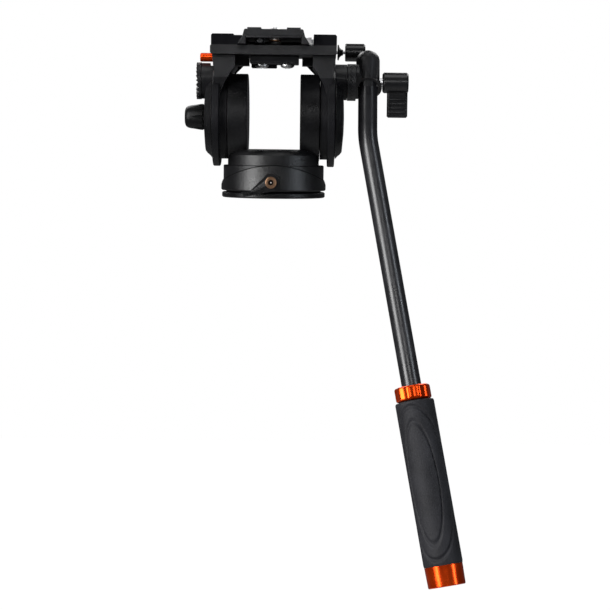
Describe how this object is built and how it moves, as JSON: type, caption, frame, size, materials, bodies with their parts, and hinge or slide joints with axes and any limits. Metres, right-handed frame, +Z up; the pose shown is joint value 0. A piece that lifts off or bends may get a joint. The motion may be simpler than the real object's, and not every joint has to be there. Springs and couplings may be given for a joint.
{
  "type": "fluid video head",
  "caption": "Compact fluid video head with a rotating base, tilting platform, sliding dovetail camera plate and a bent pan bar with a rubber grip.",
  "frame": {"origin": "on the pan axis, at the underside of the mounting disc, where the tripod screw enters", "axes": "+Z up along the pan axis, +X along the tilt axis to the side that carries the pan bar, the operator stands on the -Y side and the lens looks along +Y"},
  "size_m": [0.1978, 0.1486, 0.3825],
  "materials": {
    "cast_black": "satin black powder coat",
    "satin_black": "satin dark grey anodised",
    "plastic_black": "matt black moulded",
    "rubber_grey": "soft charcoal rubber",
    "anodised_orange": "glossy orange anodised",
    "steel": "plain steel",
    "bronze": "bronze coloured",
    "brass": "plain brass",
    "nylon": "natural nylon"
  },
  "bodies": {
    "base": {"mounting_disc": "cast_black", "thread_bushing": "brass", "pan_spindle": "steel", "pan_friction_ring": "nylon", "pan_damping_ring": "nylon", "pan_drag_ring": "brass"},
    "pan_housing": {"base_shell": "cast_black", "yoke": "cast_black", "pan_brake_shoe": "brass", "left_bush": "bronze", "right_bush": "bronze", "counterbalance_spring": "steel"},
    "pan_lock": {"pan_lock_lever": "cast_black", "pan_lock_screw": "bronze"},
    "tilt_head": {"platform": "satin_black", "left_arm": "cast_black", "right_arm": "cast_black", "left_cover": "cast_black", "right_cover": "cast_black", "left_axle": "steel", "right_axle": "steel", "left_rosette": "cast_black", "right_rosette": "cast_black", "tilt_drag_cartridge": "brass", "lock_cover": "satin_black", "left_cover_screw": "steel", "right_cover_screw": "steel", "safety_spring": "steel"},
    "tilt_lock": {"tilt_lock_knob": "plastic_black", "tilt_knob_screw": "steel"},
    "plate_lock": {"plate_lock_knob": "plastic_black", "plate_lock_collar": "cast_black", "plate_lock_screw": "steel"},
    "jaw": {"clamp_jaw": "steel"},
    "safety_catch": {"safety_button": "anodised_orange", "safety_pin": "steel"},
    "sliding_plate": {"camera_plate": "satin_black", "left_pad": "rubber_grey", "right_pad": "rubber_grey", "screw_washer": "bronze"},
    "camera_bolt": {"camera_screw": "steel"},
    "pan_bar": {"bar_elbow": "cast_black", "bar_rosette": "cast_black", "bar_tube": "satin_black", "front_ring": "anodised_orange", "grip": "rubber_grey", "end_cap": "anodised_orange"},
    "wing_nut": {"wing_knob": "plastic_black", "bar_bolt": "steel"}
  },
  "joints": [
    {"name": "pan", "type": "hinge", "parent": "base", "child": "pan_housing", "pos_m": [0, 0, 0], "axis": [0, 0, 1], "continuous": true},
    {"name": "tilt", "type": "hinge", "parent": "pan_housing", "child": "tilt_head", "pos_m": [0, 0, 0.0565], "axis": [1, 0, 0], "range_deg": [-90, 75]},
    {"name": "pan_lock_turn", "type": "hinge", "parent": "pan_housing", "child": "pan_lock", "pos_m": [-0.001, 0, 0.0114], "axis": [0, 1, 0], "range_deg": [0, 60]},
    {"name": "tilt_lock_turn", "type": "hinge", "parent": "tilt_head", "child": "tilt_lock", "pos_m": [0, 0, 0.0565], "axis": [-1, 0, 0], "range_deg": [0, 270]},
    {"name": "plate_lock_turn", "type": "hinge", "parent": "tilt_head", "child": "plate_lock", "pos_m": [0, 0.024, 0.1042], "axis": [1, 0, 0], "range_deg": [0, 360]},
    {"name": "jaw_slide", "type": "slide", "parent": "tilt_head", "child": "jaw", "axis": [1, 0, 0], "range_m": [0, 0.001]},
    {"name": "safety_press", "type": "slide", "parent": "tilt_head", "child": "safety_catch", "axis": [1, 0, 0], "range_m": [0, 0.0025], "stiffness_N_per_m": 300, "springref_m": -0.002, "deforming": ["safety_spring"]},
    {"name": "plate_slide", "type": "slide", "parent": "tilt_head", "child": "sliding_plate", "axis": [0, 1, 0], "range_m": [-0.02, 0.02]},
    {"name": "camera_screw_turn", "type": "hinge", "parent": "sliding_plate", "child": "camera_bolt", "pos_m": [0, 0, 0.11], "axis": [0, 0, 1], "continuous": true},
    {"name": "bar_angle", "type": "hinge", "parent": "tilt_head", "child": "pan_bar", "pos_m": [0, 0, 0.082], "axis": [1, 0, 0], "range_deg": [-120, 75]},
    {"name": "wing_turn", "type": "hinge", "parent": "pan_bar", "child": "wing_nut", "pos_m": [0, 0, 0.082], "axis": [1, 0, 0], "continuous": true}
  ],
  "couplings": [
    {"joint": "plate_lock_turn", "follows": "jaw_slide", "rad_per_m": 6283.2}
  ]
}
